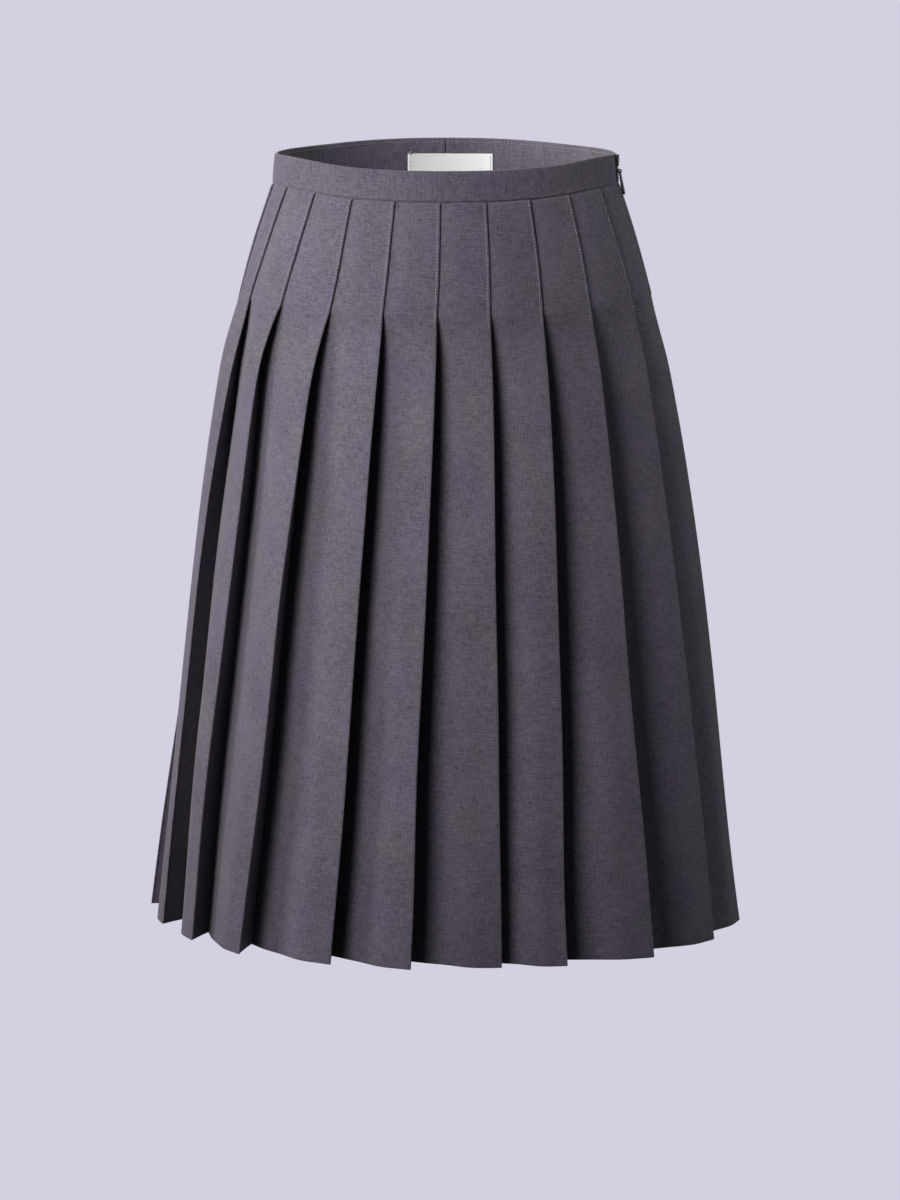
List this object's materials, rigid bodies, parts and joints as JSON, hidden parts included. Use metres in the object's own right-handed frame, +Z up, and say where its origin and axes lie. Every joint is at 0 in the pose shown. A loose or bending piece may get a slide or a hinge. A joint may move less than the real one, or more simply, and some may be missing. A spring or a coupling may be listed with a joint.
{
  "type": "pleated midi skirt",
  "caption": "Worn-form midi skirt with stitched-down knife pleats all round, a plain waistband and a concealed side zip.",
  "frame": {"origin": "centre of the waist, half way up the waistband, where a wearer's waist holds the skirt", "axes": "+Z up, front towards -Y, wearer's left and the zip towards +X"},
  "size_m": [0.4584, 0.3807, 0.5955],
  "materials": {
    "skirt_cloth": "matte worsted wool, fine two-tone weave",
    "label_satin": "white woven satin",
    "zip_tape": "black woven tape",
    "zip_coil": "black moulded coil",
    "zip_metal": "black lacquer"
  },
  "bodies": {
    "garment": {"skirt_front": "skirt_cloth", "skirt_back": "skirt_cloth", "waistband_front": "skirt_cloth", "waistband_back_left": "skirt_cloth", "waistband_back_right": "skirt_cloth", "label": "label_satin", "zip_tape_front": "zip_tape", "zip_tape_back": "zip_tape", "zip_chain": "zip_coil", "zip_end_front": "zip_coil", "zip_end_back": "zip_coil", "zip_slider": "zip_metal"},
    "zip_pull": {"zip_pull": "zip_metal"}
  },
  "joints": [
    {"name": "zip_pull_swing", "type": "hinge", "parent": "garment", "child": "zip_pull", "pos_m": [0.13118, -0.01637, -0.00088], "axis": [-0.1893, -0.9819, 0], "range_deg": [0, 155]}
  ]
}
